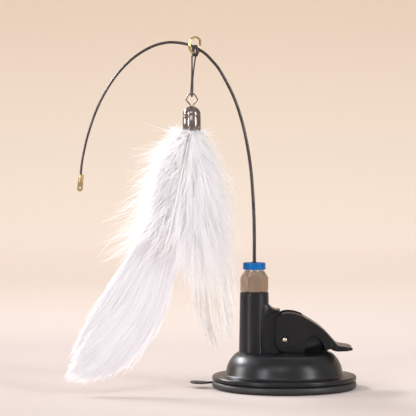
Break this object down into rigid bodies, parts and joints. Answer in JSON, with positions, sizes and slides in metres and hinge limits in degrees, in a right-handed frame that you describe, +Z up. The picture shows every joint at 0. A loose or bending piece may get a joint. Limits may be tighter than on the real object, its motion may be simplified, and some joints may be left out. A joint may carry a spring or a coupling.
{
  "type": "suction cup feather wand",
  "caption": "Pet toy: a suction base with a locking lever holds a bent spring rod, from which a cord hangs a tassel of soft feathers.",
  "frame": {"origin": "under the middle of the suction pad, on the surface that the toy stands on, 1 mm below the flat middle of the pad's underside", "axes": "+Z up along the pull stem, +X from the post towards the lever's thumb tab, +Y to the back"},
  "size_m": [0.1465, 0.072, 0.1755],
  "materials": {
    "rubber": "satin",
    "black_plastic": "satin",
    "grey_plastic": "matte",
    "nickel": "polished",
    "brass": "polished",
    "pin_steel": "satin",
    "blue_plastic": "gloss",
    "rod_steel": "gloss",
    "cord": "matte",
    "glue": "satin",
    "feather": "matte",
    "down": "matte"
  },
  "bodies": {
    "base": {"suction_pad": "rubber", "base_housing": "black_plastic", "fitting_body": "nickel", "retaining_ring": "nickel", "seal_ring": "rubber"},
    "stem": {"pull_stem": "grey_plastic", "lever_pin": "pin_steel"},
    "lever": {"lock_lever": "black_plastic"},
    "collar": {"release_collar": "blue_plastic"},
    "grip": {"collet": "brass"},
    "wand": {"rod": "rod_steel", "rod_sleeve": "brass", "tip_crimp": "brass", "split_ring": "brass", "cord_hitch": "cord"},
    "hanger": {"hanger_cord": "cord"},
    "tassel": {"wire_eye": "nickel", "feather_cap": "nickel", "glue_plug": "glue", "plume_right": "down", "plume_back": "down", "plume_left_back": "down", "plume_left_front": "down", "plume_front": "down", "long_feather_left": "feather", "long_feather_left_back": "feather", "long_feather_right": "feather"}
  },
  "joints": [
    {"name": "stem_slide", "type": "slide", "parent": "base", "child": "stem", "axis": [0, 0, 1], "range_m": [-0.000833, 0], "deforming": ["suction_pad"]},
    {"name": "lever_hinge", "type": "hinge", "parent": "stem", "child": "lever", "pos_m": [0, 0, 0.0246], "axis": [0, -1, 0], "range_deg": [0, 40]},
    {"name": "collar_press", "type": "slide", "parent": "base", "child": "collar", "axis": [0, 0, -1], "range_m": [0, 0.0005], "stiffness_N_per_m": 500, "springref_m": -0.0004},
    {"name": "rod_turn", "type": "hinge", "parent": "base", "child": "grip", "pos_m": [-0.015, 0, 0.0627], "axis": [0, 0, 1], "range_deg": [-45, 120]},
    {"name": "rod_pull", "type": "slide", "parent": "grip", "child": "wand", "axis": [0, 0, 1], "range_m": [0, 0.018]},
    {"name": "hanger_swing", "type": "hinge", "parent": "wand", "child": "hanger", "pos_m": [-0.0445, 0, 0.16499], "axis": [1, 0, 0], "range_deg": [-35, 35]},
    {"name": "tassel_swing", "type": "hinge", "parent": "hanger", "child": "tassel", "pos_m": [-0.0462, 0, 0.1466], "axis": [1, 0, 0], "range_deg": [-45, 45]}
  ],
  "couplings": [
    {"joint": "lever_hinge", "follows": "stem_slide", "rad_per_m": -837.76}
  ]
}
